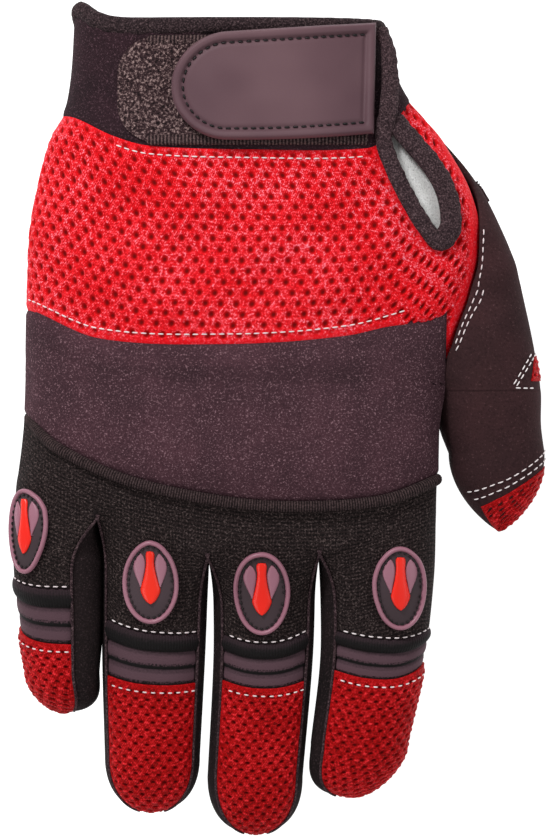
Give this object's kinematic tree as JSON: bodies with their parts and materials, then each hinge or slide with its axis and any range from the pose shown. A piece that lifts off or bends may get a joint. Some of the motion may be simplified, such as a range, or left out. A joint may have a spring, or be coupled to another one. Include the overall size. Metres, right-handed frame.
{
  "type": "riding glove",
  "caption": "Padded right-hand riding glove with a mesh back, knuckle pad, rubber-badged stretch-panel fingers, suede palm and thumb, and a hook-and-loop wrist strap.",
  "frame": {"origin": "under the middle of the glove, on the surface that it lies on, palm down", "axes": "+Y from the fingertips to the cuff, +X to the thumb side, +Z out of the back of the hand"},
  "size_m": [0.1512, 0.2356, 0.039],
  "materials": {
    "red_mesh": "matte",
    "plum_fabric": "matte",
    "cuff_jersey": "matte",
    "knit": "matte",
    "fourchette_fabric": "matte",
    "suede": "matte",
    "loop_pile": "matte",
    "hook_tape": "matte",
    "binding": "matte",
    "piping": "satin",
    "flex_panel": "satin",
    "strap_rubber": "satin",
    "badge_rubber": "satin",
    "badge_red": "satin",
    "foam": "matte"
  },
  "bodies": {
    "hand": {"cuff_band_back": "cuff_jersey", "cuff_band_palm": "cuff_jersey", "strap_base": "cuff_jersey", "cuff_binding": "binding", "loop_patch": "loop_pile", "strap_binding": "binding", "back_mesh_panel": "red_mesh", "side_mesh_panel": "red_mesh", "knuckle_pad": "plum_fabric", "knuckle_foam": "foam", "knuckle_piping": "piping", "slit_binding": "binding", "palm_panel": "suede", "palm_reinforcement": "suede"},
    "strap": {"strap_tab": "strap_rubber", "strap_hook": "hook_tape"},
    "fingers": {"knuckle_knit": "knit", "palm_flex": "suede", "little_back": "knit", "little_palm": "suede", "little_badge": "badge_rubber", "little_badge_inlay": "badge_red", "little_fourchette_thumb_side": "fourchette_fabric", "ring_back": "knit", "ring_palm": "suede", "ring_badge": "badge_rubber", "ring_badge_inlay": "badge_red", "ring_fourchette_little_side": "fourchette_fabric", "ring_fourchette_thumb_side": "fourchette_fabric", "middle_back": "knit", "middle_palm": "suede", "middle_badge": "badge_rubber", "middle_badge_inlay": "badge_red", "middle_fourchette_little_side": "fourchette_fabric", "middle_fourchette_thumb_side": "fourchette_fabric", "index_back": "knit", "index_palm": "suede", "index_badge": "badge_rubber", "index_badge_inlay": "badge_red", "index_fourchette_little_side": "fourchette_fabric"},
    "little_tip": {"little_flex": "flex_panel", "little_tip_mesh": "red_mesh", "little_tip_palm": "suede"},
    "ring_tip": {"ring_flex": "flex_panel", "ring_tip_mesh": "red_mesh", "ring_tip_palm": "suede"},
    "middle_tip": {"middle_flex": "flex_panel", "middle_tip_mesh": "red_mesh", "middle_tip_palm": "suede"},
    "index_tip": {"index_flex": "flex_panel", "index_tip_mesh": "red_mesh", "index_tip_palm": "suede"},
    "thumb": {"thumb_back": "suede", "thumb_palm": "suede"},
    "thumb_tip": {"thumb_flex": "suede", "thumb_tip_back": "suede", "thumb_tip_palm": "suede", "thumb_tip_mesh": "red_mesh"}
  },
  "joints": [
    {"name": "strap_peel", "type": "hinge", "parent": "hand", "child": "strap", "pos_m": [0.02705, 0.094, 0.0349], "axis": [0.053, 0.9809, -0.187], "range_deg": [0, 150]},
    {"name": "knuckle_fold", "type": "hinge", "parent": "hand", "child": "fingers", "pos_m": [0, -0.014, 0.009], "axis": [1, 0, 0], "range_deg": [0, 65], "deforming": ["knuckle_knit", "palm_flex"]},
    {"name": "little_flex_joint", "type": "hinge", "parent": "fingers", "child": "little_tip", "pos_m": [-0.0616, -0.05425, 0.0065], "axis": [1, 0, 0], "range_deg": [0, 80], "deforming": ["little_flex"]},
    {"name": "ring_flex_joint", "type": "hinge", "parent": "fingers", "child": "ring_tip", "pos_m": [-0.035, -0.06625, 0.007], "axis": [1, 0, 0], "range_deg": [0, 80], "deforming": ["ring_flex"]},
    {"name": "middle_flex_joint", "type": "hinge", "parent": "fingers", "child": "middle_tip", "pos_m": [-0.004, -0.0685, 0.007], "axis": [1, 0, 0], "range_deg": [0, 80], "deforming": ["middle_flex"]},
    {"name": "index_flex_joint", "type": "hinge", "parent": "fingers", "child": "index_tip", "pos_m": [0.0275, -0.0675, 0.007], "axis": [1, 0, 0], "range_deg": [0, 80], "deforming": ["index_flex"]},
    {"name": "thumb_fold", "type": "hinge", "parent": "hand", "child": "thumb", "pos_m": [0.0485, 0.02, 0.005], "axis": [0, 1, 0], "range_deg": [0, 35]},
    {"name": "thumb_flex_joint", "type": "hinge", "parent": "thumb", "child": "thumb_tip", "pos_m": [0.061, -0.001, 0.006], "axis": [1, 0, 0], "range_deg": [0, 50], "deforming": ["thumb_flex"]}
  ]
}
